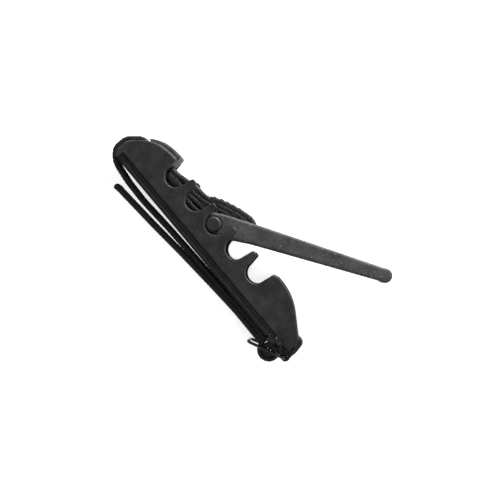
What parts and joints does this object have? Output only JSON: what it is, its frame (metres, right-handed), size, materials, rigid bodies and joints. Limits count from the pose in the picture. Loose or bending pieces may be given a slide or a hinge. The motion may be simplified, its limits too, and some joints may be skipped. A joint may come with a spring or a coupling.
{
  "type": "toggle capo",
  "caption": "Guitar capo with a notched bar, rubber fret pad, toggle lever on a movable pin, and a webbing strap with a wire slide.",
  "frame": {"origin": "on the flat back face of the body, in the web under the middle notch", "axes": "+X along the body from the strap's wrap to the wire slide, +Y from the fret pad to the notches, +Z out of the flat back face, through the thickness"},
  "size_m": [0.0794, 0.0443, 0.014],
  "materials": {
    "moulded_body": "satin black with a fine moulded grain",
    "lever": "glass-filled black plastic with fine light specks",
    "pad_core": "smooth dark grey",
    "pad_rubber": "matt black",
    "webbing": "ribbed woven nylon",
    "thread": "twisted black nylon thread",
    "chrome_wire": "bright plated wire",
    "steel": "plain",
    "roller": "smooth black"
  },
  "bodies": {
    "frame": {"comb_body": "moulded_body", "pad_core": "pad_core", "fret_pad": "pad_rubber", "webbing_strap": "webbing", "strap_lead": "webbing", "lead_stitches": "thread", "webbing_loop": "webbing", "wire_slide": "chrome_wire", "end_pin": "steel"},
    "pivot": {"pivot_pin": "lever"},
    "lever": {"toggle_lever": "lever", "strap_bar": "steel"},
    "roller": {"slide_roller": "roller"}
  },
  "joints": [
    {"name": "pin_lift", "type": "slide", "parent": "frame", "child": "pivot", "axis": [0, 1, 0], "range_m": [0, 0.008], "deforming": ["strap_lead", "lead_stitches"]},
    {"name": "lever_swing", "type": "hinge", "parent": "pivot", "child": "lever", "pos_m": [-0.00055, 0.00455, 0.007], "axis": [0, 0, 1], "range_deg": [-32, 57]},
    {"name": "roller_spin", "type": "hinge", "parent": "frame", "child": "roller", "pos_m": [0.0363, -0.0063, 0.007], "axis": [0, 0, 1], "continuous": true}
  ]
}
